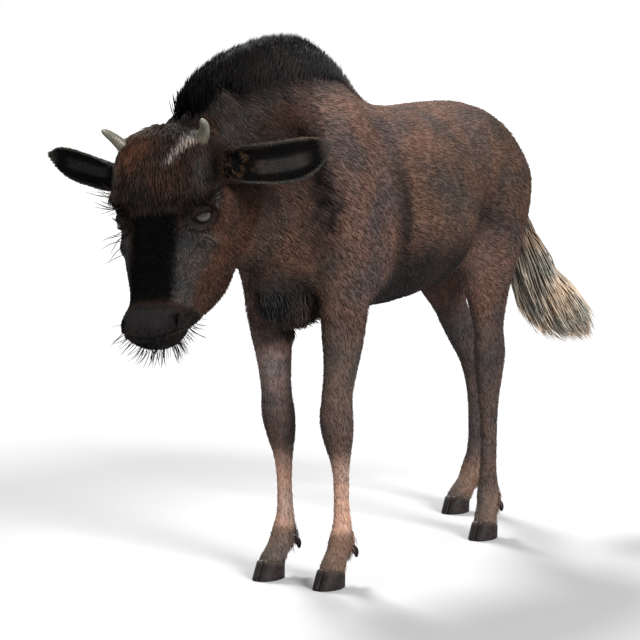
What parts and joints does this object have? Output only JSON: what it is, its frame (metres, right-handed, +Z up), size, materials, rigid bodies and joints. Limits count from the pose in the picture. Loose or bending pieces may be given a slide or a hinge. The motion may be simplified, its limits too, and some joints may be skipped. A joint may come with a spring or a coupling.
{
  "type": "wildebeest",
  "caption": "Young black wildebeest standing with lowered head, short spike horns, an erect dark mane, a chest tuft and a pale tail.",
  "frame": {"origin": "on the floor, below the middle of the bounding box", "axes": "-Y is the way the animal faces, +X is to its left and +Z is up; the soles stand at z = 0"},
  "size_m": [0.494, 1.442, 0.9229],
  "materials": {
    "coat_head": "short dark brown and black hair, matt",
    "coat_neck": "grey-brown hair under a black standing mane, matt",
    "coat_body": "short dark reddish brown hair, matt",
    "coat_tail": "long pale hair, matt",
    "coat_ear": "short black hair, matt",
    "eye": "wet and glossy",
    "horn": "grey-green horn, dull",
    "hoof": "dark grey horn, dull",
    "coat_forearm": "short grey-brown hair, matt",
    "coat_gaskin": "short olive brown hair, matt",
    "coat_shank": "short pale grey-brown hair, matt",
    "coat_pastern": "short grey-brown hair, matt"
  },
  "bodies": {
    "root": {"ear_left": "coat_ear", "ear_right": "coat_ear", "eye_left": "eye", "eye_right": "eye", "fore_left_claw_inner": "hoof", "fore_left_claw_outer": "hoof", "fore_left_dewclaw_inner": "hoof", "fore_left_dewclaw_outer": "hoof", "fore_left_forearm": "coat_forearm", "fore_left_pastern": "coat_pastern", "fore_left_shank": "coat_shank", "fore_right_claw_inner": "hoof", "fore_right_claw_outer": "hoof", "fore_right_dewclaw_inner": "hoof", "fore_right_dewclaw_outer": "hoof", "fore_right_forearm": "coat_forearm", "fore_right_pastern": "coat_pastern", "fore_right_shank": "coat_shank", "head": "coat_head", "hind_left_claw_inner": "hoof", "hind_left_claw_outer": "hoof", "hind_left_dewclaw_inner": "hoof", "hind_left_dewclaw_outer": "hoof", "hind_left_gaskin": "coat_gaskin", "hind_left_pastern": "coat_pastern", "hind_left_shank": "coat_shank", "hind_right_claw_inner": "hoof", "hind_right_claw_outer": "hoof", "hind_right_dewclaw_inner": "hoof", "hind_right_dewclaw_outer": "hoof", "hind_right_gaskin": "coat_gaskin", "hind_right_pastern": "coat_pastern", "hind_right_shank": "coat_shank", "horn_left": "horn", "horn_right": "horn", "neck": "coat_neck", "tail": "coat_tail", "torso": "coat_body"}
  },
  "joints": []
}
